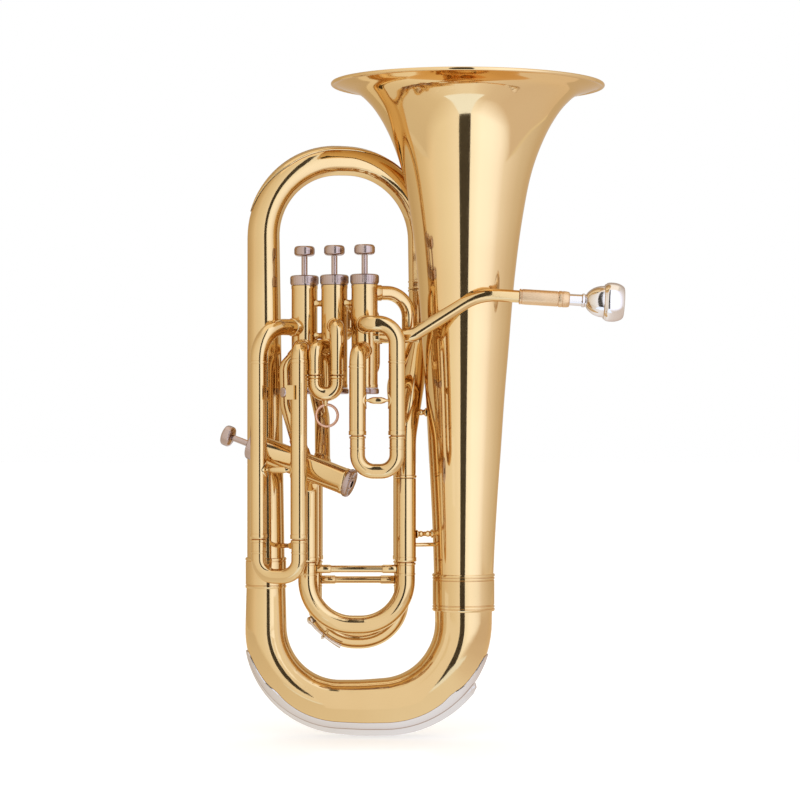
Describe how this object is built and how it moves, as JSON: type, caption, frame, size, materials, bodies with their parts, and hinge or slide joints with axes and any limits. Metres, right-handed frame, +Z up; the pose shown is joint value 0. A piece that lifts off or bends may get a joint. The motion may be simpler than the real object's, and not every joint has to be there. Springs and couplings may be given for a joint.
{
  "type": "euphonium",
  "caption": "Compensating brass euphonium: flared bell, conical bows, top-action and side piston valves, pull-out tuning slides, curved leadpipe and cup mouthpiece.",
  "frame": {"origin": "under the middle of the bounding box, at the level of the bow guard's lowest edge", "axes": "+Z up along the bell, +X towards the mouthpiece, -Y towards the player's valve side"},
  "size_m": [0.4196, 0.2888, 0.6906],
  "materials": {
    "lacquered_brass": "polished, clear gold lacquer",
    "silver_plate": "polished silver plate",
    "nickel_plate": "satin nickel plate",
    "spring_steel": "drawn wire"
  },
  "bodies": {
    "horn": {"bell": "lacquered_brass", "bell_ferrule": "lacquered_brass", "bottom_bow": "lacquered_brass", "bow_guard": "silver_plate", "left_branch": "lacquered_brass", "left_branch_ferrule": "lacquered_brass", "top_bow": "lacquered_brass", "top_bow_guard": "lacquered_brass", "inner_branch": "lacquered_brass", "leadpipe": "lacquered_brass", "mouthpiece_receiver": "lacquered_brass", "first_slide_outer_left": "lacquered_brass", "first_slide_outer_right": "lacquered_brass", "second_slide_outer_left": "lacquered_brass", "second_slide_outer_right": "lacquered_brass", "third_slide_outer_left": "lacquered_brass", "third_slide_outer_right": "lacquered_brass", "main_slide_outer_left": "lacquered_brass", "main_slide_outer_right": "lacquered_brass", "fourth_slide_outer_left": "lacquered_brass", "fourth_slide_outer_right": "lacquered_brass", "fourth_valve_inlet": "lacquered_brass", "fourth_valve_return": "lacquered_brass", "first_compensating_loop": "lacquered_brass", "second_compensating_loop": "lacquered_brass", "third_compensating_loop": "lacquered_brass", "bell_brace_upper": "lacquered_brass", "bell_brace_lower": "lacquered_brass", "valve_1_casing": "lacquered_brass", "valve_1_top_cap": "nickel_plate", "valve_1_bottom_cap": "nickel_plate", "valve_2_casing": "lacquered_brass", "valve_2_top_cap": "nickel_plate", "valve_2_bottom_cap": "nickel_plate", "valve_3_casing": "lacquered_brass", "valve_3_top_cap": "nickel_plate", "valve_3_bottom_cap": "nickel_plate", "valve_4_casing": "lacquered_brass", "valve_4_top_cap": "nickel_plate", "valve_4_bottom_cap": "nickel_plate", "valve_4_spring": "spring_steel"},
    "piston_1": {"valve_1_piston": "nickel_plate", "valve_1_button": "nickel_plate", "valve_1_spring": "spring_steel"},
    "piston_2": {"valve_2_piston": "nickel_plate", "valve_2_button": "nickel_plate", "valve_2_spring": "spring_steel"},
    "piston_3": {"valve_3_piston": "nickel_plate", "valve_3_button": "nickel_plate", "valve_3_spring": "spring_steel"},
    "piston_4": {"valve_4_piston": "nickel_plate", "valve_4_button": "nickel_plate"},
    "first_slide": {"first_slide": "lacquered_brass"},
    "second_slide": {"second_slide": "lacquered_brass"},
    "third_slide": {"third_slide": "lacquered_brass"},
    "main_tuning_slide": {"main_tuning_slide": "lacquered_brass"},
    "fourth_slide": {"fourth_slide": "lacquered_brass"},
    "water_key": {"water_key": "silver_plate"},
    "mouthpiece": {"mouthpiece": "silver_plate"}
  },
  "joints": [
    {"name": "valve_1_press", "type": "slide", "parent": "horn", "child": "piston_1", "axis": [0, 0, -1], "range_m": [0, 0.017], "stiffness_N_per_m": 100, "springref_m": -0.025, "deforming": ["valve_1_spring"]},
    {"name": "valve_2_press", "type": "slide", "parent": "horn", "child": "piston_2", "axis": [0, 0, -1], "range_m": [0, 0.017], "stiffness_N_per_m": 100, "springref_m": -0.025, "deforming": ["valve_2_spring"]},
    {"name": "valve_3_press", "type": "slide", "parent": "horn", "child": "piston_3", "axis": [0, 0, -1], "range_m": [0, 0.017], "stiffness_N_per_m": 100, "springref_m": -0.025, "deforming": ["valve_3_spring"]},
    {"name": "valve_4_press", "type": "slide", "parent": "horn", "child": "piston_4", "axis": [0.907, -0.243, -0.344], "range_m": [0, 0.017], "stiffness_N_per_m": 100, "springref_m": -0.025},
    {"name": "first_slide_pull", "type": "slide", "parent": "horn", "child": "first_slide", "axis": [0, 0, -1], "range_m": [0, 0.08]},
    {"name": "second_slide_pull", "type": "slide", "parent": "horn", "child": "second_slide", "axis": [0, 0, -1], "range_m": [0, 0.012]},
    {"name": "third_slide_pull", "type": "slide", "parent": "horn", "child": "third_slide", "axis": [0, 0, -1], "range_m": [0, 0.055]},
    {"name": "main_tuning_slide_pull", "type": "slide", "parent": "horn", "child": "main_tuning_slide", "axis": [0, 0, -1], "range_m": [0, 0.04]},
    {"name": "fourth_slide_pull", "type": "slide", "parent": "horn", "child": "fourth_slide", "axis": [0, 0, -1], "range_m": [0, 0.025]},
    {"name": "water_key_open", "type": "hinge", "parent": "fourth_slide", "child": "water_key", "pos_m": [-0.10179, 0.0108, 0.10565], "axis": [0.4297, -0.6623, 0.6138], "range_deg": [0, 8], "stiffness_Nm_per_rad": 0.05, "springref_deg": -17.19},
    {"name": "mouthpiece_pull", "type": "slide", "parent": "horn", "child": "mouthpiece", "axis": [0.9981, 0, -0.061], "range_m": [0, 0.025]}
  ]
}
